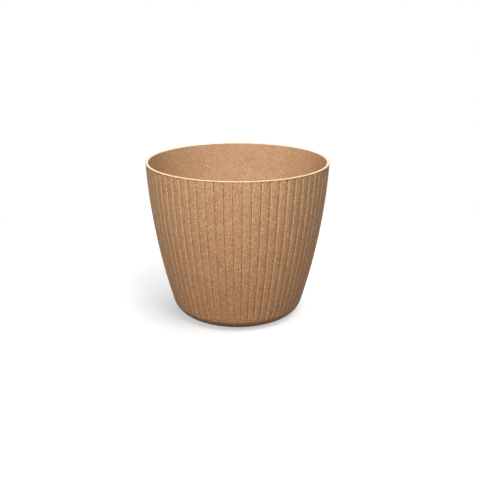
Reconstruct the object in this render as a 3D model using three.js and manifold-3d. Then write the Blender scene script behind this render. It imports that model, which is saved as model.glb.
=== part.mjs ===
// A round plant pot moulded in wood-fibre plastic, with upright boards all round the outside and
// soft plugs in the drain holes of its floor.
// Millimetres, +Z up. The origin is in the middle of the foot, on the surface the pot stands on.
// Angles round the pot start at -Y, the front, and grow towards +X.

import * as THREE from 'three';
import { mergeVertices, toCreasedNormals } from 'three/addons/utils/BufferGeometryUtils.js';
import Module from 'manifold-3d';

const wasm = await Module();
wasm.setup();

// Outside of the pot
const rimDiameter = 240;
const potHeight = 207;
const footDiameter = 126.6; // outer edge of the ring that the pot stands on
const cornerRadius = 25; // where the wall turns under to the foot
const rimLean = THREE.MathUtils.degToRad(3); // how far the wall leans out just below the lip

// Lip round the top
const lipHeight = 1.2;
const lipOverhang = 0.3; // how far the lip stands proud of the boards
const lipRounding = 0.6;

// Boards and the grooves between them
const boardCount = 66;
const grooveDepth = 1.3;
const grooveFloorWidth = 0.9;
const grooveFlankWidth = 1.65; // the slope on each side of a groove's floor
const grooveRunout = 6; // each groove fades out over this length of the corner under the wall

// Wall, floor and underside
const wallThickness = 2; // behind the grooves
const floorThickness = 3.3;
const baseRecess = 3; // how far the floor's underside is above the foot
const footRingWidth = 4;
const drainNotchCount = 4; // slots that let water out from under the floor
const drainNotchWidth = 9;
const drainNotchDepth = 1.2;
const gateDimpleDiameter = 16; // moulding gate in the middle of the underside
const gateDimpleDepth = 0.8;
const gatePipDiameter = 4;
const gatePipHeight = 0.5;

// Drain holes and their plugs
const drainHoleCount = 4;
const drainHoleDiameter = 12;
const drainHoleInset = 21.3; // from the foot ring's inner edge to the middle of a hole
const plugClearance = 0.3; // between a plug's shank and its hole
const plugFlangeOverhang = 4; // how far the flange covers the floor round the hole
const plugFlangeThickness = 2;
const plugFootGap = 1.5; // from the end of the shank down to what the pot stands on
const plugWall = 1.7;
const plugRounding = 0.5;
const plugKnobDiameter = 8;
const plugKnobThickness = 2.6;
const plugNeckDiameter = 5.4;
const plugNeckHeight = 2.4;

// Steps of the curved surfaces
const cornerSteps = 4;
const wallSteps = 6;
const roundingSteps = 2;
const innerCornerSteps = 5;
const innerWallSteps = 6;
const insideSides = 68;
const plugSides = 20;

// Cutters reach this far past the faces that they cut through
const cutterReach = 4;

const straightDown = Math.PI / 2;
const rimRadius = rimDiameter / 2;
const footRadius = footDiameter / 2;
const recessRadius = footRadius - footRingWidth;
const floorTop = baseRecess + floorThickness;
const shellThickness = wallThickness + grooveDepth;

// The outside of the wall is one arc. It starts under the lip with the rim's lean, bulges a little
// and runs smoothly into the corner arc, and that decides its radius.
const wallTop = new THREE.Vector2(rimRadius - lipOverhang, potHeight - lipHeight);
const cornerCentre = new THREE.Vector2(footRadius, cornerRadius);
const wallRadius = radiusOfArcOver(cornerCentre, cornerRadius, wallTop, rimLean);
const wallCentre = wallTop.clone().sub(normalAt(rimLean).multiplyScalar(wallRadius));

// Outward direction in the profile plane. The tilt is how far it dips below level.
function normalAt(tilt) {
  return new THREE.Vector2(Math.cos(tilt), -Math.sin(tilt));
}

// Radius of the arc that leaves a point at a given tilt and touches a smaller circle from outside it.
function radiusOfArcOver(circleCentre, circleRadius, point, tilt) {
  const span = point.clone().sub(circleCentre);
  const room = span.dot(normalAt(tilt)) - circleRadius;
  return (span.lengthSq() - circleRadius ** 2) / (2 * room);
}

// Points on an arc from one tilt to another, both ends included.
function arcPoints(centre, radius, fromTilt, toTilt, steps) {
  const points = [];
  for (let step = 0; step <= steps; step += 1) {
    const tilt = THREE.MathUtils.lerp(fromTilt, toTilt, step / steps);
    points.push(normalAt(tilt).multiplyScalar(radius).add(centre));
  }
  return points;
}

// Tilt at which a corner arc runs into the bigger wall arc round it.
function meetingTilt(cornerMiddle, cornerSize, wallSize) {
  const along = cornerMiddle.clone().sub(wallCentre).divideScalar(wallSize - cornerSize);
  return Math.atan2(-along.y, along.x);
}

// Outside profile of the pot, from the axis at the foot to the axis at the rim. The points on the
// wall carry the grooves at their full depth.
function outsideProfile() {
  const joinTilt = meetingTilt(cornerCentre, cornerRadius, wallRadius);
  const plainTilt = joinTilt + grooveRunout / cornerRadius;
  const corner = arcPoints(cornerCentre, cornerRadius, straightDown, plainTilt, cornerSteps);
  const wall = arcPoints(wallCentre, wallRadius, joinTilt, rimLean, wallSteps);
  const roundingCentre = new THREE.Vector2(rimRadius - lipRounding, potHeight - lipRounding);
  const lipEdge = arcPoints(roundingCentre, lipRounding, 0, -straightDown, roundingSteps);
  const plain = (point) => ({ point, grooved: false });
  const grooved = (point) => ({ point, grooved: true });
  return [
    plain(new THREE.Vector2(0, 0)),
    ...corner.map(plain),
    ...wall.map(grooved),
    plain(new THREE.Vector2(rimRadius, wallTop.y)),
    ...lipEdge.map(plain),
    plain(new THREE.Vector2(0, potHeight)),
  ];
}

// Profile of the space inside the pot. It keeps the same distance from the outside all the way up.
function insideProfile() {
  const innerWallRadius = wallRadius - shellThickness;
  const innerCornerRadius = cornerRadius - shellThickness;
  const reach = innerWallRadius - innerCornerRadius;
  const cornerHeight = floorTop + innerCornerRadius;
  const sideways = Math.sign(reach) * Math.sqrt(reach ** 2 - (cornerHeight - wallCentre.y) ** 2);
  const innerCorner = new THREE.Vector2(wallCentre.x + sideways, cornerHeight);
  const joinTilt = meetingTilt(innerCorner, innerCornerRadius, innerWallRadius);
  const edgeHeight = potHeight - lipRounding;
  const edgeTilt = Math.asin((wallCentre.y - edgeHeight) / innerWallRadius);
  const corner = arcPoints(innerCorner, innerCornerRadius, straightDown, joinTilt, innerCornerSteps);
  const wall = arcPoints(wallCentre, innerWallRadius, joinTilt, edgeTilt, innerWallSteps);
  const roundingCentre = new THREE.Vector2(wall.at(-1).x + lipRounding, edgeHeight);
  const rimEdge = arcPoints(roundingCentre, lipRounding, -Math.PI, -straightDown, roundingSteps);
  const aboveRim = potHeight + cutterReach;
  return [
    new THREE.Vector2(0, floorTop),
    ...corner,
    ...wall.slice(1),
    ...rimEdge.slice(1),
    new THREE.Vector2(roundingCentre.x, aboveRim),
    new THREE.Vector2(0, aboveRim),
  ];
}

// A body turned about Z from a profile of radius and height that starts and ends on the axis.
function turned(profile, sides) {
  return new THREE.LatheGeometry(profile, sides).rotateX(Math.PI / 2);
}

// A plain round bar about Z.
function roundBar(diameter, bottom, top, sides) {
  const radius = diameter / 2;
  const profile = [
    new THREE.Vector2(0, bottom),
    new THREE.Vector2(radius, bottom),
    new THREE.Vector2(radius, top),
    new THREE.Vector2(0, top),
  ];
  return turned(profile, sides);
}

// The outside body with its grooves. Each groove takes four columns of the turned grid, one at each
// edge and one at each side of its floor, and a board is the flat between two grooves.
function groovedBody(profile) {
  const floorEdge = grooveFloorWidth / 2;
  const outerEdge = floorEdge + grooveFlankWidth;
  const section = [
    { across: -outerEdge, depth: 0 },
    { across: -floorEdge, depth: grooveDepth },
    { across: floorEdge, depth: grooveDepth },
    { across: outerEdge, depth: 0 },
  ];
  const columns = boardCount * section.length;
  const geometry = new THREE.LatheGeometry(profile.map((row) => row.point), columns);
  const position = geometry.attributes.position;
  for (let index = 0; index < position.count; index += 1) {
    const column = Math.floor(index / profile.length) % columns;
    const { point, grooved } = profile[index % profile.length];
    const { across, depth } = section[column % section.length];
    const groove = Math.floor(column / section.length) + 0.5;
    const angle = (groove * 2 * Math.PI) / boardCount + across / Math.max(point.x, footRadius);
    const radius = grooved ? point.x - depth : point.x;
    position.setXYZ(index, radius * Math.sin(angle), point.y, radius * Math.cos(angle));
  }
  return geometry.rotateX(Math.PI / 2);
}

// A closed geometry as a solid for cutting and joining. The triangles that close up to nothing on
// the axis of a turned body are left out.
function toSolid(geometry) {
  const bare = geometry.clone();
  bare.deleteAttribute('normal');
  bare.deleteAttribute('uv');
  const merged = mergeVertices(bare);
  const corners = merged.index.array;
  const kept = [];
  for (let start = 0; start < corners.length; start += 3) {
    const triangle = corners.slice(start, start + 3);
    if (new Set(triangle).size === 3) {
      kept.push(...triangle);
    }
  }
  const mesh = new wasm.Mesh({
    numProp: 3,
    vertProperties: Float32Array.from(merged.attributes.position.array),
    triVerts: Uint32Array.from(kept),
  });
  return new wasm.Manifold(mesh);
}

function toGeometry(solid) {
  const mesh = solid.getMesh();
  const geometry = new THREE.BufferGeometry();
  geometry.setAttribute('position', new THREE.BufferAttribute(mesh.vertProperties, 3));
  geometry.setIndex(new THREE.BufferAttribute(mesh.triVerts, 1));
  return toCreasedNormals(geometry, THREE.MathUtils.degToRad(30));
}

// Places evenly spaced round the pot's axis, the first one the given share of a step from the front.
function placesRound(count, radius, firstShare) {
  const places = [];
  for (let copy = 0; copy < count; copy += 1) {
    const angle = ((copy + firstShare) * 2 * Math.PI) / count;
    places.push({ angle, x: radius * Math.sin(angle), y: -radius * Math.cos(angle) });
  }
  return places;
}

const drainHolePlaces = placesRound(drainHoleCount, recessRadius - drainHoleInset, 0.5);

// The recess under the floor, with the moulding gate's dimple in its roof and the pip left in that.
function undersideCutter() {
  const dimpleTop = baseRecess + gateDimpleDepth;
  const pipBottom = dimpleTop - gatePipHeight;
  const recess = toSolid(roundBar(2 * recessRadius, -cutterReach, baseRecess, insideSides));
  const dimple = toSolid(roundBar(gateDimpleDiameter, -cutterReach, dimpleTop, plugSides));
  const pip = toSolid(roundBar(gatePipDiameter, pipBottom, dimpleTop + cutterReach, plugSides));
  return recess.add(dimple).subtract(pip);
}

function drainHoleCutter(place) {
  const bar = roundBar(drainHoleDiameter, -cutterReach, floorTop + cutterReach, plugSides);
  return toSolid(bar.translate(place.x, place.y, 0));
}

// Slots across the foot ring. They run out through the rounded corner, where it is as high as they are.
function drainNotchCutters() {
  const runOut = Math.sqrt(drainNotchDepth * (2 * cornerRadius - drainNotchDepth));
  const length = footRingWidth + runOut + 2 * cutterReach;
  const middle = footRadius + (runOut - footRingWidth) / 2;
  return placesRound(drainNotchCount, middle, 0).map((place) => {
    const box = new THREE.BoxGeometry(drainNotchWidth, length, 2 * drainNotchDepth);
    return toSolid(box.rotateZ(place.angle).translate(place.x, place.y, 0));
  });
}

function potBody() {
  const cutters = [
    toSolid(turned(insideProfile(), insideSides)),
    undersideCutter(),
    ...drainHolePlaces.map(drainHoleCutter),
    ...drainNotchCutters(),
  ];
  const outside = toSolid(groovedBody(outsideProfile()));
  return toGeometry(cutters.reduce((body, cutter) => body.subtract(cutter), outside));
}

// A soft plug about its own axis, with its flange's underside at zero: a hollow shank that fills
// the hole, a flange that seals on the floor and a knob to pull it out by.
function plugBody() {
  const shankRadius = drainHoleDiameter / 2 - plugClearance;
  const boreRadius = shankRadius - plugWall;
  const shankEnd = plugFootGap - floorTop;
  const flangeRadius = drainHoleDiameter / 2 + plugFlangeOverhang;
  const neckRadius = plugNeckDiameter / 2;
  const neckTop = plugFlangeThickness + plugNeckHeight;
  const knobRadius = plugKnobDiameter / 2;
  const knobTop = neckTop + plugKnobThickness;
  const profile = [
    new THREE.Vector2(0, 0),
    new THREE.Vector2(boreRadius - plugRounding, 0),
    new THREE.Vector2(boreRadius, -plugRounding),
    new THREE.Vector2(boreRadius, shankEnd),
    new THREE.Vector2(shankRadius - plugRounding, shankEnd),
    new THREE.Vector2(shankRadius, shankEnd + plugRounding),
    new THREE.Vector2(shankRadius, 0),
    new THREE.Vector2(flangeRadius, 0),
    new THREE.Vector2(flangeRadius, plugFlangeThickness - plugRounding),
    new THREE.Vector2(flangeRadius - plugRounding, plugFlangeThickness),
    new THREE.Vector2(neckRadius, plugFlangeThickness),
    new THREE.Vector2(neckRadius, neckTop),
    new THREE.Vector2(knobRadius, neckTop + plugRounding),
    new THREE.Vector2(knobRadius, knobTop - plugRounding),
    new THREE.Vector2(knobRadius - plugRounding, knobTop),
    new THREE.Vector2(0, knobTop),
  ];
  return turned(profile, plugSides);
}

function pot() {
  const woodFibrePlastic = new THREE.MeshStandardMaterial({
    color: 0xbd946e,
    roughness: 0.62,
    metalness: 0,
  });
  const mesh = new THREE.Mesh(potBody(), woodFibrePlastic);
  mesh.name = 'pot';
  return mesh;
}

function drainPlug(place, number) {
  const softPlastic = new THREE.MeshStandardMaterial({
    color: 0x6b4a33,
    roughness: 0.7,
    metalness: 0,
  });
  const mesh = new THREE.Mesh(plugBody(), softPlastic);
  mesh.name = `drain_plug_${number}`;
  mesh.position.set(place.x, place.y, floorTop);
  return mesh;
}

const plantPot = new THREE.Group();
plantPot.add(pot());
drainHolePlaces.forEach((place, index) => plantPot.add(drainPlug(place, index + 1)));

export default plantPot;
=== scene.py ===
# Round plant pot in wood-fibre plastic with four soft drain plugs, on a white studio floor.
# Metres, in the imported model's frame: +Z up, the camera looks along +Y.

import math

import bpy
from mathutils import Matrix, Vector


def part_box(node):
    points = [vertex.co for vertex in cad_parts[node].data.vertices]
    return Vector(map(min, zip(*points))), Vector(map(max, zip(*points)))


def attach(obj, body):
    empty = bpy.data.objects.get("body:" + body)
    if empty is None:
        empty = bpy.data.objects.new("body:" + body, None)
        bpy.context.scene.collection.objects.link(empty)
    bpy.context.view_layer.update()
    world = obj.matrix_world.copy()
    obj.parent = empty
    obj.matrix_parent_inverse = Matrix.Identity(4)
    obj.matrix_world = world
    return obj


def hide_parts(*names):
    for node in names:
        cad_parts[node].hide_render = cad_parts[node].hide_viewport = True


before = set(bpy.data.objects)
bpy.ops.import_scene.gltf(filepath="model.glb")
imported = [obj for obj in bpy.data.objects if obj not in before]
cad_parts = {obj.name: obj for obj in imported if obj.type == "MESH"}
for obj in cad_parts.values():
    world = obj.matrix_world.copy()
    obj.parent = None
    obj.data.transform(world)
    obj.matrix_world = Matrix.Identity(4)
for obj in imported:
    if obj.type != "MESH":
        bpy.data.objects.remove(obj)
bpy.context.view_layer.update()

potLow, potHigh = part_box("pot")
quarterTurn = math.pi / 2


# Camera, at the photograph's viewing angle

cameraPlace = {
    "target": Vector((0.0032, 0.0, 0.0973)),
    "distance": 1.0327,
    "azimuth": math.radians(-0.2),
    "elevation": math.radians(18.07),
    "lens": 57.33,
    "sensor": 36.0,
}


def link(obj):
    bpy.context.scene.collection.objects.link(obj)
    return obj


def directionTo(turn, rise):
    # Turned from the photograph's side, -Y, towards +X, and raised above level
    level = math.cos(rise)
    return Vector((math.sin(turn) * level, -math.cos(turn) * level, math.sin(rise)))


def addCamera(place):
    data = bpy.data.cameras.new("camera")
    data.lens = place["lens"]
    data.sensor_width = place["sensor"]
    camera = link(bpy.data.objects.new("camera", data))
    turn, rise = place["azimuth"], place["elevation"]
    camera.location = place["target"] + directionTo(turn, rise) * place["distance"]
    camera.rotation_euler = (quarterTurn - rise, 0.0, turn)
    bpy.context.scene.camera = camera


addCamera(cameraPlace)
print("camera placed")


# Small helpers for node trees

def addNode(tree, kind, values=None, **settings):
    made = tree.nodes.new(kind)
    for name, setting in settings.items():
        setattr(made, name, setting)
    for place, value in (values or {}).items():
        if isinstance(value, bpy.types.NodeSocket):
            tree.links.new(value, made.inputs[place])
        else:
            made.inputs[place].default_value = value
    return made


def calc(tree, operation, *values):
    made = addNode(tree, "ShaderNodeMath", dict(enumerate(values)), operation=operation)
    return made.outputs[0]


def vectorCalc(tree, operation, *values):
    made = addNode(tree, "ShaderNodeVectorMath", dict(enumerate(values)), operation=operation)
    return made.outputs[0]


def split(tree, vector):
    return addNode(tree, "ShaderNodeSeparateXYZ", {"Vector": vector}).outputs


def joined(tree, x, y, z):
    return addNode(tree, "ShaderNodeCombineXYZ", {"X": x, "Y": y, "Z": z}).outputs[0]


def stored(tree, geometry, name, value):
    values = {"Geometry": geometry, "Name": name, "Value": value}
    return addNode(tree, "GeometryNodeStoreNamedAttribute", values).outputs[0]


def moved(tree, geometry, place):
    values = {"Geometry": geometry, "Position": place}
    return addNode(tree, "GeometryNodeSetPosition", values).outputs[0]


def realized(tree, geometry):
    return addNode(tree, "GeometryNodeRealizeInstances", {"Geometry": geometry}).outputs[0]


def newTree(name, inputs):
    tree = bpy.data.node_groups.new(name, "GeometryNodeTree")
    for label, kind in {"Geometry": "Geometry", **inputs}.items():
        tree.interface.new_socket(name=label, in_out="INPUT", socket_type="NodeSocket" + kind)
    tree.interface.new_socket(name="Geometry", in_out="OUTPUT", socket_type="NodeSocketGeometry")
    return tree, tree.nodes.new("NodeGroupInput").outputs


def closeTree(tree, given, geometry):
    # Smooth all over apart from the sharp edges, then plain mesh with its material
    smooth = addNode(tree, "GeometryNodeSetShadeSmooth", {"Geometry": geometry}).outputs[0]
    edgeAngle = addNode(tree, "GeometryNodeInputMeshEdgeAngle").outputs["Unsigned Angle"]
    creased = addNode(tree, "GeometryNodeSetShadeSmooth", {
        "Geometry": smooth,
        "Selection": calc(tree, "GREATER_THAN", edgeAngle, given["Sharp angle"]),
        "Shade Smooth": False,
    }, domain="EDGE").outputs[0]
    finished = addNode(tree, "GeometryNodeSetMaterial", {
        "Geometry": realized(tree, creased),
        "Material": given["Material"],
    })
    addNode(tree, "NodeGroupOutput", {"Geometry": finished.outputs[0]})


def applyTree(obj, tree, values):
    modifier = obj.modifiers.new(tree.name, "NODES")
    modifier.node_group = tree
    for item in tree.interface.items_tree:
        if item.in_out == "INPUT" and item.name in values:
            modifier[item.identifier] = values[item.name]
    evaluated = obj.evaluated_get(bpy.context.evaluated_depsgraph_get())
    mesh = bpy.data.meshes.new_from_object(evaluated)
    obj.modifiers.remove(modifier)
    obj.data = mesh
    mesh.name = obj.name
    mesh.materials.clear()
    mesh.materials.append(values["Material"])
    mesh.polygons.foreach_set("material_index", [0] * len(mesh.polygons))
    return obj


def pointsObject(name, places, attributes=None):
    mesh = bpy.data.meshes.new(name)
    mesh.from_pydata(places, [], [])
    for label, values in (attributes or {}).items():
        mesh.attributes.new(label, "FLOAT", "POINT").data.foreach_set("value", values)
    return link(bpy.data.objects.new(name, mesh))


# Outlines, as points of radius and height

def normalAt(tilt):
    return Vector((math.cos(tilt), -math.sin(tilt)))  # tilt is how far it dips below level


def arcPoints(centre, radius, fromTilt, toTilt, steps):
    span = (toTilt - fromTilt) / steps
    return [centre + radius * normalAt(fromTilt + span * step) for step in range(steps + 1)]


def meetingTilt(bigCentre, bigRadius, smallCentre, smallRadius):
    # Where the small circle touches the big one from inside
    along = (smallCentre - bigCentre) / (bigRadius - smallRadius)
    return math.atan2(-along.y, along.x)


def roundedCorner(before, corner, after, rounding, steps):
    # One more point before and after the arc keeps the flats beside it flat
    towardsBefore = (before - corner).normalized()
    towardsAfter = (after - corner).normalized()
    halfAngle = towardsBefore.angle(towardsAfter) / 2
    setback = rounding / math.tan(halfAngle)
    centre = corner + (towardsBefore + towardsAfter).normalized() * rounding / math.sin(halfAngle)
    start = corner + towardsBefore * setback - centre
    end = corner + towardsAfter * setback - centre
    turns = [start.lerp(end, step / steps).normalized() for step in range(steps + 1)]
    arc = [centre + turn * rounding for turn in turns]
    hold = setback + rounding / 2
    return [corner + towardsBefore * hold, *arc, corner + towardsAfter * hold]


def roundedOutline(places, rounding, steps):
    corners = [Vector(place) for place in places]
    points = [corners[0]]
    for before, corner, after in zip(corners, corners[1:], corners[2:]):
        points += roundedCorner(before, corner, after, rounding, steps)
    return [*points, corners[-1]]


# A body turned about Z. The object's own points are the outline, from the axis round to the axis.
# The section's points say how the columns lie in half a sector: X is how far from the groove's
# middle, Y the share of the board that is passed, Z the share of the groove's full depth.

mergeDistance = 1e-6  # welds the seam and the rows on the axis


def turnedTree():
    tree, given = newTree("turned body", {
        "Section": "Object",
        "Sectors": "Int",
        "Groove depth": "Float",
        "Place": "Vector",
        "Sharp angle": "Float",
        "Material": "Material",
    })

    def pointCount(geometry):
        size = addNode(tree, "GeometryNodeAttributeDomainSize", {"Geometry": geometry})
        return size.outputs["Point Count"]

    def wholeTimes(number, size):
        # Half a step more, so that a whole result isn't rounded down to the one below
        return calc(tree, "FLOOR", calc(tree, "DIVIDE", calc(tree, "ADD", number, 0.5), size))

    def leftOver(number, times, size):
        return calc(tree, "SUBTRACT", number, calc(tree, "MULTIPLY", times, size))

    def sampled(geometry, value, place, kind="FLOAT_VECTOR"):
        # Of sockets that share a name, only the one of the chosen kind is enabled
        node = addNode(tree, "GeometryNodeSampleIndex", data_type=kind)
        for socket, source in zip([s for s in node.inputs if s.enabled], (geometry, value, place)):
            tree.links.new(source, socket)
        return [s for s in node.outputs if s.enabled][0]

    outline = given["Geometry"]
    section = addNode(tree, "GeometryNodeObjectInfo", {"Object": given["Section"]})
    section = section.outputs["Geometry"]
    rows = pointCount(outline)
    half = calc(tree, "SUBTRACT", pointCount(section), 1.0)
    perSector = calc(tree, "MULTIPLY", half, 2.0)
    columns = calc(tree, "MULTIPLY", given["Sectors"], perSector)
    grid = addNode(tree, "GeometryNodeMeshGrid", {
        "Vertices X": calc(tree, "ADD", columns, 1.0),
        "Vertices Y": rows,
    }).outputs["Mesh"]

    index = addNode(tree, "GeometryNodeInputIndex").outputs[0]
    position = addNode(tree, "GeometryNodeInputPosition").outputs[0]
    column = wholeTimes(index, rows)
    row = leftOver(index, column, rows)
    sector = wholeTimes(column, perSector)
    fromMiddle = calc(tree, "SUBTRACT", leftOver(column, sector, perSector), half)

    def ofOutline(name):
        field = addNode(tree, "GeometryNodeInputNamedAttribute", {"Name": name})
        return sampled(outline, field.outputs["Attribute"], row, "FLOAT")

    outlinePlace = split(tree, sampled(outline, position, row))
    share = ofOutline("grooveShare")
    sectionPlace = split(tree, sampled(section, position, calc(tree, "ABSOLUTE", fromMiddle)))
    zoneEnd = split(tree, sampled(section, position, half))["X"]

    # The groove keeps its width at every radius, apart from close to the axis
    radius = outlinePlace["X"]
    halfSector = calc(tree, "DIVIDE", math.pi, given["Sectors"])
    smallest = calc(tree, "MULTIPLY", zoneEnd, given["Sectors"])
    safeRadius = calc(tree, "MAXIMUM", radius, smallest)
    board = calc(tree, "SUBTRACT", halfSector, calc(tree, "DIVIDE", zoneEnd, safeRadius))
    across = calc(tree, "DIVIDE", sectionPlace["X"], safeRadius)
    offset = calc(tree, "MULTIPLY_ADD", sectionPlace["Y"], board, across)
    middleStep = calc(tree, "ADD", calc(tree, "MULTIPLY", sector, 2.0), 1.0)
    middle = calc(tree, "MULTIPLY", middleStep, halfSector)
    angle = calc(tree, "MULTIPLY_ADD", calc(tree, "SIGN", fromMiddle), offset, middle)

    # Boards are flat between their grooves, and the groove is cut into them
    fromBoard = calc(tree, "MINIMUM", calc(tree, "SUBTRACT", halfSector, offset), board)
    chord = calc(tree, "DIVIDE", calc(tree, "COSINE", board), calc(tree, "COSINE", fromBoard))
    flattened = calc(tree, "MULTIPLY_ADD", calc(tree, "SUBTRACT", chord, 1.0), share, 1.0)
    cover = calc(tree, "MULTIPLY", sectionPlace["Z"], share)
    cut = calc(tree, "MULTIPLY", cover, given["Groove depth"])
    finalRadius = calc(tree, "SUBTRACT", calc(tree, "MULTIPLY", radius, flattened), cut)
    towardsFront = calc(tree, "SUBTRACT", 0.0, calc(tree, "COSINE", angle))
    turnedPlace = joined(
        tree,
        calc(tree, "MULTIPLY", finalRadius, calc(tree, "SINE", angle)),
        calc(tree, "MULTIPLY", finalRadius, towardsFront),
        outlinePlace["Z"],
    )
    placed = moved(tree, grid, vectorCalc(tree, "ADD", turnedPlace, given["Place"]))
    placed = stored(tree, placed, "grooveDepth", cover)
    placed = stored(tree, placed, "insideShare", ofOutline("insideShare"))
    closed = addNode(tree, "GeometryNodeMergeByDistance", {
        "Geometry": placed,
        "Distance": mergeDistance,
    }).outputs[0]
    closeTree(tree, given, closed)
    return tree


turned = turnedTree()


# Drain holes through the floor and drain notches across the foot ring, cut from the turned pot

def drainCutTree():
    tree, given = newTree("drain cuts", {
        "Holes": "Int",
        "Hole sides": "Int",
        "Hole radius": "Float",
        "Hole circle": "Float",
        "Hole length": "Float",
        "Notches": "Int",
        "Notch circle": "Float",
        "Notch size": "Vector",
        "Sharp angle": "Float",
        "Material": "Material",
    })

    def around(shape, count, circle, turnShare):
        # turnShare turns the whole ring of copies, as a share of the step between two of them
        ring = addNode(tree, "GeometryNodeMeshCircle", {"Vertices": count, "Radius": circle})
        index = addNode(tree, "GeometryNodeInputIndex").outputs[0]
        step = calc(tree, "DIVIDE", 2 * math.pi, count)
        angle = calc(tree, "MULTIPLY", calc(tree, "ADD", index, turnShare), step)
        place = joined(
            tree,
            calc(tree, "MULTIPLY", circle, calc(tree, "COSINE", angle)),
            calc(tree, "MULTIPLY", circle, calc(tree, "SINE", angle)),
            0.0,
        )
        facing = joined(tree, 0.0, 0.0, angle)
        copies = addNode(tree, "GeometryNodeInstanceOnPoints", {
            "Points": moved(tree, ring.outputs[0], place),
            "Instance": shape,
            "Rotation": addNode(tree, "FunctionNodeEulerToRotation", {"Euler": facing}).outputs[0],
        })
        return realized(tree, copies.outputs[0])

    bar = addNode(tree, "GeometryNodeMeshCylinder", {
        "Vertices": given["Hole sides"],
        "Radius": given["Hole radius"],
        "Depth": given["Hole length"],
    }).outputs["Mesh"]
    slot = addNode(tree, "GeometryNodeMeshCube", {"Size": given["Notch size"]}).outputs["Mesh"]
    holeCuts = around(bar, given["Holes"], given["Hole circle"], turnShare=0.5)
    notchCuts = around(slot, given["Notches"], given["Notch circle"], turnShare=0.0)
    cutBody = addNode(tree, "GeometryNodeMeshBoolean", {
        "Mesh 1": given["Geometry"],
    }, operation="DIFFERENCE", solver="MANIFOLD")
    for cuts in (holeCuts, notchCuts):
        tree.links.new(cuts, cutBody.inputs["Mesh 2"])
    closeTree(tree, given, cutBody.outputs[0])
    return tree


drainCuts = drainCutTree()


# Materials: every pattern reads object coordinates, in metres, or an attribute of the turned body

noiseSpan = (0.3, 0.7)  # where most of a noise texture's values lie
wholeSpan = (0.0, 1.0)


def clearedTree(holder):
    holder.use_nodes = True
    holder.node_tree.nodes.clear()
    return holder.node_tree


def newMaterial(name):
    material = bpy.data.materials.new(name)
    tree = clearedTree(material)
    shader = addNode(tree, "ShaderNodeBsdfPrincipled")
    addNode(tree, "ShaderNodeOutputMaterial", {"Surface": shader.outputs[0]})
    place = addNode(tree, "ShaderNodeTexCoord").outputs["Object"]
    return material, tree, shader, place


def noise(tree, place, size, detail, stretch=1.0, turn=(0.0, 0.0, 0.0)):
    # size is how wide the blots are, and stretch how many times longer before they are turned
    if stretch != 1.0:
        place = addNode(tree, "ShaderNodeMapping", {
            "Vector": place,
            "Rotation": turn,
            "Scale": (1.0, 1.0, 1 / stretch),
        }, vector_type="POINT").outputs[0]
    values = {"Vector": place, "Scale": 1 / size, "Detail": detail}
    return addNode(tree, "ShaderNodeTexNoise", values).outputs["Fac"]


def marked(tree, name):
    return addNode(tree, "ShaderNodeAttribute", attribute_name=name).outputs["Fac"]


def ranged(tree, value, fromSpan, toSpan, kind="LINEAR"):
    return addNode(tree, "ShaderNodeMapRange", {
        "Value": value,
        "From Min": fromSpan[0],
        "From Max": fromSpan[1],
        "To Min": toSpan[0],
        "To Max": toSpan[1],
    }, interpolation_type=kind).outputs["Result"]


def tinted(tree, share, first, second):
    # The Mix node's colours are its inputs 6 and 7 and its output 2
    values = {0: share, 6: first, 7: second}
    return addNode(tree, "ShaderNodeMix", values, data_type="RGBA").outputs[2]


def bumped(tree, height, distance, strength, under=None):
    values = {"Strength": strength, "Distance": distance, "Height": height}
    if under is not None:
        values["Normal"] = under
    return addNode(tree, "ShaderNodeBump", values).outputs[0]


def finishShader(tree, shader, look, colour, normal, pattern):
    spread = look["roughnessSpread"]
    change = ranged(tree, pattern, noiseSpan, (-spread, spread))
    tree.links.new(colour, shader.inputs["Base Color"])
    tree.links.new(normal, shader.inputs["Normal"])
    tree.links.new(calc(tree, "ADD", change, look["roughness"]), shader.inputs["Roughness"])
    shader.inputs["Specular IOR Level"].default_value = look["specular"]


def linear(red, green, blue):
    # Colours are written as they look, from 0 to 255, and the numbers below are the sRGB curve's
    parts = [v / 255 for v in (red, green, blue)]
    return (*[v / 12.92 if v <= 0.04045 else ((v + 0.055) / 1.055) ** 2.4 for v in parts], 1.0)


woodFibreLook = {
    "outsideHigh": linear(203, 155, 114),
    "outsideFootWarmShade": linear(213, 150, 105),  # painted warm shade, a little redder towards the foot
    "inside": linear(194, 155, 119),
    "cloudSize": 0.022,
    "cloudTone": (0.94, 1.06),
    "streakSize": 0.004,
    "streakStretch": 9.0,
    "streakTone": (0.975, 1.025),
    "edgeBegins": (0.03, 0.2),  # shares of the groove's depth, as are the two spans below
    "edgeEnds": (0.4, 0.7),
    # painted shade, darkening the groove's floor
    "grooveShadeBegins": (0.6, 0.95),
    "grooveShade": linear(124, 62, 28),
    "grooveShadeStrength": 0.68,
    # painted highlight on the boards' eased edges
    "edgeHighlight": linear(234, 198, 158),
    "edgeHighlightSpan": (0.3, 0.6),
    "edgeHighlightNoiseSize": 0.006,
    "edgeHighlightNoiseStretch": 4.0,
    # painted highlight on the rim's top face
    "rimHighlight": linear(246, 213, 172),
    "rimFrom": potHigh.z - 0.0005,
    "rimFade": 0.0004,
    "rimHighlightStrength": 0.6,
    "darkFibre": {
        "colour": linear(140, 92, 58),
        "width": 0.001,
        "stretch": 2.2,
        "span": (0.6, 0.72),
        "share": 0.55,
    },
    "paleFibre": {
        "colour": linear(234, 198, 158),
        "width": 0.0011,
        "stretch": 2.6,
        "span": (0.635, 0.675),
        "share": 0.95,
    },
    "fibreLeans": ((0.5, 0.3), (-0.6, 0.9), (1.2, -0.4)),  # one layer of fibres each, in radians
    "fibreShift": Vector((0.37, 0.11, 0.53)),  # from layer to layer, so that none repeats
    "insideFlecks": 0.65,
    "fibreRise": 0.3,
    "grainSize": 0.0006,
    "grainHeight": 0.00012,
    "grainStrength": 0.25,
    "pitSize": 0.0028,
    "pitDepth": 0.0006,
    "pitStrength": 1.0,
    "roughness": 0.6,
    "roughnessSpread": 0.07,
    "specular": 0.2,
}


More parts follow.
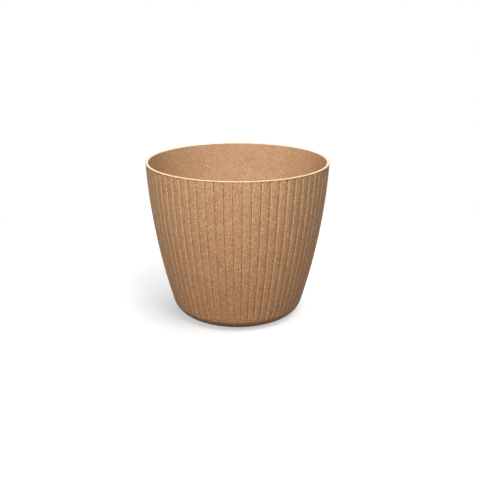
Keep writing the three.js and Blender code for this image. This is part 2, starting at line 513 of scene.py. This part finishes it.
def fleckShare(tree, place, fibre, turn, showing):
    pattern = noise(tree, place, fibre["width"], 1.0, fibre["stretch"], turn)
    share = ranged(tree, pattern, fibre["span"], (0.0, fibre["share"]))
    return calc(tree, "MULTIPLY", share, showing)


def woodFibrePlastic(look):
    material, tree, shader, place = newMaterial("wood_fibre_plastic")
    height = split(tree, place)["Z"]
    inside = marked(tree, "insideShare")
    # Painted warm shade: the outside turns a little redder towards the foot
    warmShadeFade = ranged(tree, height, (potLow.z, potHigh.z), wholeSpan)
    outside = tinted(tree, warmShadeFade, look["outsideFootWarmShade"], look["outsideHigh"])
    skin = tinted(tree, inside, outside, look["inside"])
    cloud = noise(tree, place, look["cloudSize"], detail=3.0)
    streak = noise(tree, place, look["streakSize"], detail=3.0, stretch=look["streakStretch"])
    cloudTone = ranged(tree, cloud, noiseSpan, look["cloudTone"])
    streakTone = ranged(tree, streak, noiseSpan, look["streakTone"])
    colour = addNode(tree, "ShaderNodeVectorMath", {
        "Vector": skin,
        "Scale": calc(tree, "MULTIPLY", cloudTone, streakTone),
    }, operation="SCALE").outputs[0]

    # Painted highlight on the boards' eased edges, paler and uneven, and painted shade on the
    # grooves' darker floor
    depth = marked(tree, "grooveDepth")
    edgeHighlightNoise = noise(tree, place, look["edgeHighlightNoiseSize"], detail=3.0, stretch=look["edgeHighlightNoiseStretch"])
    edgeBegun = ranged(tree, depth, look["edgeBegins"], wholeSpan)
    edgeLeft = ranged(tree, depth, look["edgeEnds"], (1.0, 0.0))
    easedEdge = calc(tree, "MULTIPLY", edgeBegun, edgeLeft)
    paleTone = calc(tree, "MULTIPLY", easedEdge, ranged(tree, edgeHighlightNoise, noiseSpan, look["edgeHighlightSpan"]))
    colour = tinted(tree, paleTone, colour, look["edgeHighlight"])
    # Painted shade: the groove's floor is painted darker
    grooveShadeShare = ranged(tree, depth, look["grooveShadeBegins"], (0.0, look["grooveShadeStrength"]))
    colour = tinted(tree, grooveShadeShare, colour, look["grooveShade"])

    # Layers of dark and pale fibre flecks, fainter inside
    showing = ranged(tree, inside, wholeSpan, (1.0, look["insideFlecks"]))
    layers = []
    for layer, (leanX, leanY) in enumerate(look["fibreLeans"]):
        shifted = vectorCalc(tree, "ADD", place, layer * look["fibreShift"])
        dark = fleckShare(tree, shifted, look["darkFibre"], (leanX, leanY, 0.0), showing)
        colour = tinted(tree, dark, colour, look["darkFibre"]["colour"])
        pale = fleckShare(tree, shifted, look["paleFibre"], (leanY, -leanX, 0.0), showing)
        colour = tinted(tree, pale, colour, look["paleFibre"]["colour"])
        layers.append((pale, dark))

    # Painted highlight: the rim's top face is painted pale
    rimSpan = (look["rimFrom"], look["rimFrom"] + look["rimFade"])
    rimHighlightShare = ranged(tree, height, rimSpan, (0.0, look["rimHighlightStrength"]))
    colour = tinted(tree, rimHighlightShare, colour, look["rimHighlight"])

    # In the skin's fine relief, the first two layers' pale fibres stand up and the dark ones dip
    rises = [calc(tree, "SUBTRACT", pale, dark) for pale, dark in layers[:2]]
    grain = noise(tree, place, look["grainSize"], detail=3.0)
    relief = calc(tree, "MULTIPLY_ADD", calc(tree, "ADD", *rises), look["fibreRise"], grain)
    fine = bumped(tree, relief, look["grainHeight"], look["grainStrength"])
    pits = noise(tree, place, look["pitSize"], detail=2.0)
    pitted = bumped(tree, pits, look["pitDepth"], look["pitStrength"], fine)
    finishShader(tree, shader, look, colour, pitted, grain)
    return material


softPlugLook = {
    "body": linear(107, 74, 51),
    "paleTone": linear(124, 90, 66),
    "wornSize": 0.005,
    "wornSpan": (0.35, 0.7),
    "wornShare": 0.8,
    "dust": linear(150, 118, 90),
    "dustSize": 0.00045,
    "dustSpan": (0.66, 0.74),
    "dustShare": 0.5,
    "grainSize": 0.0004,
    "grainHeight": 0.00008,
    "grainStrength": 0.3,
    "roughness": 0.72,
    "roughnessSpread": 0.08,
    "specular": 0.3,
}


def softPlugRubber(look):
    material, tree, shader, place = newMaterial("soft_plug")
    cloud = noise(tree, place, look["wornSize"], detail=4.0)
    paleTone = ranged(tree, cloud, look["wornSpan"], (0.0, look["wornShare"]))
    colour = tinted(tree, paleTone, look["body"], look["paleTone"])
    specks = noise(tree, place, look["dustSize"], detail=1.0)
    dusty = ranged(tree, specks, look["dustSpan"], (0.0, look["dustShare"]))
    colour = tinted(tree, dusty, colour, look["dust"])
    grain = noise(tree, place, look["grainSize"], detail=3.0)
    skin = bumped(tree, grain, look["grainHeight"], look["grainStrength"])
    finishShader(tree, shader, look, colour, skin, cloud)
    return material


potMaterial = woodFibrePlastic(woodFibreLook)
plugMaterial = softPlugRubber(softPlugLook)
print("materials made")


# Pot

potShape = {
    "rimRadius": min(potHigh.x, potHigh.y),
    "height": potHigh.z,
    "footRadius": 0.0633,
    "cornerRadius": 0.025,
    "rimLean": math.radians(3),
    "lipHeight": 0.001,
    "lipOverhang": 0.0003,
    "lipRounding": 0.0006,
    "wall": 0.0033,
    "floorTop": 0.0063,
    "baseRecess": 0.003,
    "footRing": 0.004,
    "gateDimpleRadius": 0.008,
    "gateDimpleDepth": 0.0008,
    "gatePipRadius": 0.002,
    "gatePipHeight": 0.0005,
    "edgeRounding": 0.00015,
    "boards": 66,
    "grooveDepth": 0.0013,
    "grooveFloorWidth": 0.0005,
    "grooveFlankWidth": 0.0005,
    "grooveRounding": 0.0002,
    "grooveRunout": 0.006,
    "shoulderDepth": 0.00075,
    "shoulderWidth": 0.0015,
    "shoulderRounding": 0.0015,
    "drainHoles": 4,
    "drainHoleSides": 64,
    "drainHoleRadius": 0.006,
    "drainHoleCircle": 0.038,
    "drainNotches": 4,
    "drainNotchWidth": 0.009,
    "drainNotchDepth": 0.0012,
    "sharpAngle": math.radians(40),
    # Steps along each arc of the outline, and of the groove's section
    "wallSteps": 14,
    "cornerSteps": 10,
    "runoutSteps": 6,
    "innerWallSteps": 11,
    "innerCornerSteps": 8,
    "lipSteps": 4,
    "edgeSteps": 2,
    "sectionSteps": 1,
}


def potOutline(s):
    top = Vector((s["rimRadius"] - s["lipOverhang"], s["height"] - s["lipHeight"]))
    cornerCentre = Vector((s["footRadius"], s["cornerRadius"]))
    span = top - cornerCentre
    outward = normalAt(s["rimLean"])
    room = span.dot(outward) - s["cornerRadius"]
    wallRadius = (span.length_squared - s["cornerRadius"] ** 2) / (2 * room)
    wallCentre = top - outward * wallRadius
    joinTilt = meetingTilt(wallCentre, wallRadius, cornerCentre, s["cornerRadius"])
    plainTilt = joinTilt + s["grooveRunout"] / s["cornerRadius"]

    # Underside, from the gate pip on the axis to the foot ring's outer edge
    roof, foot = s["baseRecess"], potLow.z
    dimpleRoof = roof + s["gateDimpleDepth"]
    pipEnd = dimpleRoof - s["gatePipHeight"]
    recess = s["footRadius"] - s["footRing"]
    underside = roundedOutline([
        (0.0, pipEnd),
        (s["gatePipRadius"], pipEnd),
        (s["gatePipRadius"], dimpleRoof),
        (s["gateDimpleRadius"], dimpleRoof),
        (s["gateDimpleRadius"], roof),
        (recess, roof),
        (recess, foot),
        (s["footRadius"], foot),
    ], s["edgeRounding"], s["edgeSteps"])

    # Outside: plain corner, the stretch where the grooves run out, and the wall up to the lip
    cornerArc = (cornerCentre, s["cornerRadius"])
    corner = arcPoints(*cornerArc, quarterTurn, plainTilt, s["cornerSteps"])[1:]
    runout = arcPoints(*cornerArc, plainTilt, joinTilt, s["runoutSteps"])[1:]
    wall = arcPoints(wallCentre, wallRadius, joinTilt, s["rimLean"], s["wallSteps"])[1:]

    # Lip
    lipRadius, rimTop, rounding = s["rimRadius"], s["height"], s["lipRounding"]
    lipCorner, lipTop = Vector((lipRadius, top.y)), Vector((lipRadius, rimTop))
    lipFoot = roundedCorner(top, lipCorner, lipTop, s["edgeRounding"], s["edgeSteps"])[1:]
    lipCentre = Vector((lipRadius - rounding, rimTop - rounding))
    lipEdge = arcPoints(lipCentre, rounding, 0.0, -quarterTurn, s["lipSteps"])

    # Inside, from the rim down the wall and round the bend to the middle of the floor
    innerWall = wallRadius - s["wall"]
    innerCornerRadius = s["cornerRadius"] - s["wall"]
    cornerHeight = s["floorTop"] + innerCornerRadius
    reach = innerWall - innerCornerRadius
    sideways = math.sqrt(reach ** 2 - (cornerHeight - wallCentre.y) ** 2)
    innerCorner = Vector((wallCentre.x + sideways, cornerHeight))
    innerJoin = meetingTilt(wallCentre, innerWall, innerCorner, innerCornerRadius)
    edgeTilt = math.asin((wallCentre.y - rimTop + rounding) / innerWall)
    innerSide = arcPoints(wallCentre, innerWall, edgeTilt, innerJoin, s["innerWallSteps"])
    edgeCentre = Vector((innerSide[0].x + rounding, rimTop - rounding))
    innerEdge = arcPoints(edgeCentre, rounding, -quarterTurn, -math.pi, s["lipSteps"])
    innerArc = (innerCorner, innerCornerRadius)
    innerBend = arcPoints(*innerArc, innerJoin, quarterTurn, s["innerCornerSteps"])[1:]
    floorHold = innerBend[-1] - Vector((s["wall"], 0.0))  # keeps the floor flat beside the bend
    floorMiddle = Vector((0.0, s["floorTop"]))
    lip = [*lipFoot, *lipEdge]
    inside = [*innerEdge, *innerSide[1:], *innerBend, floorHold, floorMiddle]

    # The grooves fade in smoothly over the run-out, and end under the lip
    fade = [step / len(runout) for step in range(1, len(runout) + 1)]
    below, above = [0.0] * len(underside + corner), [0.0] * len(lip + inside)
    grooveShare = [*below, *[v * v * (3 - 2 * v) for v in fade], *[1.0] * len(wall), *above]
    outline = [*underside, *corner, *runout, *wall, *lip, *inside]
    insideShare = [0.0] * (len(outline) - len(inside)) + [1.0] * len(inside)
    attributes = {"grooveShare": grooveShare, "insideShare": insideShare}
    return [(p.x, 0.0, p.y) for p in outline], attributes


def grooveSection(s):
    # From the middle of the groove, up its flank and over the board's eased edge, to the board
    middle = Vector((0.0, -s["grooveDepth"]))
    floorEdge = Vector((s["grooveFloorWidth"] / 2, -s["grooveDepth"]))
    shoulder = Vector((floorEdge.x + s["grooveFlankWidth"], -s["shoulderDepth"]))
    boardEdge = Vector((shoulder.x + s["shoulderWidth"], 0.0))
    across = [middle, floorEdge]
    onBoard = boardEdge * 2  # any point further out on the board
    for corner, rounding in (
        ((floorEdge, shoulder, boardEdge), s["grooveRounding"]),
        ((shoulder, boardEdge, onBoard), s["shoulderRounding"]),
    ):
        across += roundedCorner(*corner, rounding, s["sectionSteps"])[1:-1]
    boardMiddle = (across[-1].x, 1.0, 0.0)
    return [*[(p.x, 0.0, -p.y / s["grooveDepth"]) for p in across], boardMiddle]


def potBody(s):
    places, attributes = potOutline(s)
    section = pointsObject("groove section", grooveSection(s))
    pot = applyTree(pointsObject("pot_body", places, attributes), turned, {
        "Section": section,
        "Sectors": s["boards"],
        "Groove depth": s["grooveDepth"],
        "Sharp angle": s["sharpAngle"],
        "Material": potMaterial,
    })
    bpy.data.objects.remove(section)

    # Each cut goes well past what it cuts: the holes through the floor, and the notches past both
    # sides of the foot ring, out to where the corner has risen as high as they are deep
    ring, notchDepth = s["footRing"], s["drainNotchDepth"]
    notchReach = math.sqrt(notchDepth * (2 * s["cornerRadius"] - notchDepth))
    applyTree(pot, drainCuts, {
        "Holes": s["drainHoles"],
        "Hole sides": s["drainHoleSides"],
        "Hole radius": s["drainHoleRadius"],
        "Hole circle": s["drainHoleCircle"],
        "Hole length": 4 * s["floorTop"],
        "Notches": s["drainNotches"],
        "Notch circle": s["footRadius"] + (notchReach - ring) / 2,
        "Notch size": (ring + notchReach + 2 * ring, s["drainNotchWidth"], 2 * notchDepth),
        "Sharp angle": s["sharpAngle"],
        "Material": potMaterial,
    })
    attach(pot, "pot")
    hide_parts("pot")
    return pot


potPiece = potBody(potShape)
print("pot made,", len(potPiece.data.polygons), "faces")


# Drain plugs

plugShape = {
    "shankRadius": 0.0057,
    "shankWall": 0.0017,
    "flangeRadius": 0.01,
    "flangeThickness": 0.002,
    "neckRadius": 0.0027,
    "neckHeight": 0.0024,
    "knobRadius": 0.004,
    "knobThickness": 0.0026,
    "gateDimpleRadius": 0.0012,
    "gateDimpleDepth": 0.0003,
    "gateDimpleRounding": 0.000075,
    "rounding": 0.0004,
    "roundingSteps": 4,
    "dimpleSteps": 2,
    "sectors": 12,
    "sharpAngle": math.radians(50),
}


def plugOutline(s, low, seat):
    # Heights are from the seat, which is where the flange rests on the pot's floor
    neckTop = s["flangeThickness"] + s["neckHeight"]
    knobTop = neckTop + s["knobThickness"]
    dimpleFloor = knobTop - s["gateDimpleDepth"]
    bore = s["shankRadius"] - s["shankWall"]
    body = roundedOutline([
        (0.0, 0.0),
        (bore, 0.0),
        (bore, low - seat),
        (s["shankRadius"], low - seat),
        (s["shankRadius"], 0.0),
        (s["flangeRadius"], 0.0),
        (s["flangeRadius"], s["flangeThickness"]),
        (s["neckRadius"], s["flangeThickness"]),
        (s["neckRadius"], neckTop),
        (s["knobRadius"], neckTop),
        (s["knobRadius"], knobTop),
        (s["gateDimpleRadius"], knobTop),
    ], s["rounding"], s["roundingSteps"])[:-1]
    dimple = roundedOutline([
        body[-1],
        (s["gateDimpleRadius"], knobTop),
        (s["gateDimpleRadius"], dimpleFloor),
        (0.0, dimpleFloor),
    ], s["gateDimpleRounding"], s["dimpleSteps"])[1:]
    return [(p.x, 0.0, p.y) for p in (*body, *dimple)]


def drainPlug(number, s):
    node = f"drain_plug_{number}"
    low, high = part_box(node)
    seat = potShape["floorTop"]
    # No groove: the columns lie evenly over each sector
    section = pointsObject("plug section", [(0.0, share, 0.0) for share in (0.0, 0.5, 1.0)])
    plug = applyTree(pointsObject(f"{node}_body", plugOutline(s, low.z, seat)), turned, {
        "Section": section,
        "Sectors": s["sectors"],
        "Place": ((low.x + high.x) / 2, (low.y + high.y) / 2, seat),
        "Sharp angle": s["sharpAngle"],
        "Material": plugMaterial,
    })
    bpy.data.objects.remove(section)
    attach(plug, node)
    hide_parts(node)
    return plug


plugs = [drainPlug(number, plugShape) for number in range(1, potShape["drainHoles"] + 1)]
print("drain plugs made,", len(plugs[0].data.polygons), "faces each")


# White floor: the camera sees it white apart from the pot's shadow, and far off plain white

floorLook = {
    "size": 6.0,
    "white": 0.9,
    "glow": 0.55,
    "bounce": 0.02,  # what it throws back at the pot
    "shadowEnds": 0.42,
    "plainFrom": 0.6,
}


def grey(level):
    return (level, level, level, 1.0)


def mixedShader(tree, share, first, second):
    return addNode(tree, "ShaderNodeMixShader", {0: share, 1: first, 2: second}).outputs[0]


def backgroundSeen(tree):
    # 1 for rays that show the background: the camera's own, and those of gloss and glass
    ray = addNode(tree, "ShaderNodeLightPath").outputs
    bent = calc(tree, "MAXIMUM", ray["Is Glossy Ray"], ray["Is Transmission Ray"])
    return calc(tree, "MAXIMUM", ray["Is Camera Ray"], bent)


def studioFloor(look):
    material = bpy.data.materials.new("studio floor")
    tree = clearedTree(material)
    place = split(tree, addNode(tree, "ShaderNodeTexCoord").outputs["Object"])
    squares = [calc(tree, "MULTIPLY", place[axis], place[axis]) for axis in ("X", "Y")]
    away = calc(tree, "SQRT", calc(tree, "ADD", *squares))
    fade = (look["shadowEnds"], look["plainFrom"])
    plainShare = ranged(tree, away, fade, (look["glow"], 1.0), "SMOOTHSTEP")
    paper = addNode(tree, "ShaderNodeBsdfDiffuse", {"Color": grey(look["white"])}).outputs[0]
    plain = addNode(tree, "ShaderNodeEmission", {"Color": grey(1.0), "Strength": 1.0}).outputs[0]
    bounce = addNode(tree, "ShaderNodeBsdfDiffuse", {"Color": grey(look["bounce"])}).outputs[0]
    shown = mixedShader(tree, plainShare, paper, plain)
    mixed = mixedShader(tree, backgroundSeen(tree), bounce, shown)
    addNode(tree, "ShaderNodeOutputMaterial", {"Surface": mixed})
    half = look["size"] / 2
    corners = [(-half, -half, 0.0), (half, -half, 0.0), (half, half, 0.0), (-half, half, 0.0)]
    mesh = bpy.data.meshes.new("studio floor")
    mesh.from_pydata(corners, [], [(0, 1, 2, 3)])
    mesh.materials.append(material)
    floor = link(bpy.data.objects.new("studio floor", mesh))
    return floor


floorPiece = studioFloor(floorLook)


# Studio light. Azimuth and elevation are those of directionTo, in degrees. The lamps named after
# the floor light nothing else and give the pot's shadow its place, and the others light the pot.

warm, cool, neutral = (1.0, 0.93, 0.91), (0.92, 1.0, 0.985), (1.0, 1.0, 1.0)
studioLook = {
    "roomStrength": 0.03,
    "roomColour": (1.0, 0.99, 0.97, 1.0),
    "lampAim": Vector((0.0, 0.0, 0.1)),
    "lampDistance": 1.6,
}
lamps = {
    "key left": {"azimuth": -35, "elevation": 35, "size": 0.7, "power": 7.2, "colour": warm},
    "key right": {"azimuth": 15, "elevation": 35, "size": 0.7, "power": 8.1, "colour": warm},
    "high front": {"azimuth": -5, "elevation": 48, "size": 0.7, "power": 15.7, "colour": cool},
    "back": {"azimuth": 180, "elevation": 35, "size": 0.7, "power": 22.0, "colour": neutral},
    "floor top": {"azimuth": 0, "elevation": 78, "size": 3.0, "power": 14.0, "colour": neutral},
    "floor back": {"azimuth": 170, "elevation": 74, "size": 1.0, "power": 18.0, "colour": neutral},
    "floor right": {"azimuth": 30, "elevation": 60, "size": 1.1, "power": 31.9, "colour": neutral},
}


def background(tree, colour, strength):
    values = {"Color": colour, "Strength": strength}
    return addNode(tree, "ShaderNodeBackground", values).outputs[0]


def floorGroup(name, floor, state):
    group = bpy.data.collections.new(name)
    group.objects.link(floor)
    group.collection_objects[0].light_linking.link_state = state
    return group


def studioLight(look, lampPlaces, floor):
    world = bpy.data.worlds.new("studio")
    bpy.context.scene.world = world
    tree = clearedTree(world)
    light = background(tree, look["roomColour"], look["roomStrength"])
    mixed = mixedShader(tree, backgroundSeen(tree), light, background(tree, grey(1.0), 1.0))
    addNode(tree, "ShaderNodeOutputWorld", {"Surface": mixed})
    onlyFloor = floorGroup("only the floor", floor, "INCLUDE")
    allButFloor = floorGroup("all but the floor", floor, "EXCLUDE")
    for name, lamp in lampPlaces.items():
        data = bpy.data.lights.new(name, "AREA")
        data.shape = "DISK"
        data.size = lamp["size"]
        data.energy = lamp["power"]
        data.color = lamp["colour"]
        obj = link(bpy.data.objects.new(name, data))
        away = directionTo(math.radians(lamp["azimuth"]), math.radians(lamp["elevation"]))
        obj.location = look["lampAim"] + away * look["lampDistance"]
        obj.rotation_euler = away.to_track_quat("Z", "Y").to_euler()  # a lamp shines along -Z
        receivers = onlyFloor if name.startswith("floor") else allButFloor
        obj.light_linking.receiver_collection = receivers


studioLight(studioLook, lamps, floorPiece)
bpy.context.scene.view_settings.view_transform = "Standard"
print("floor and lights set")
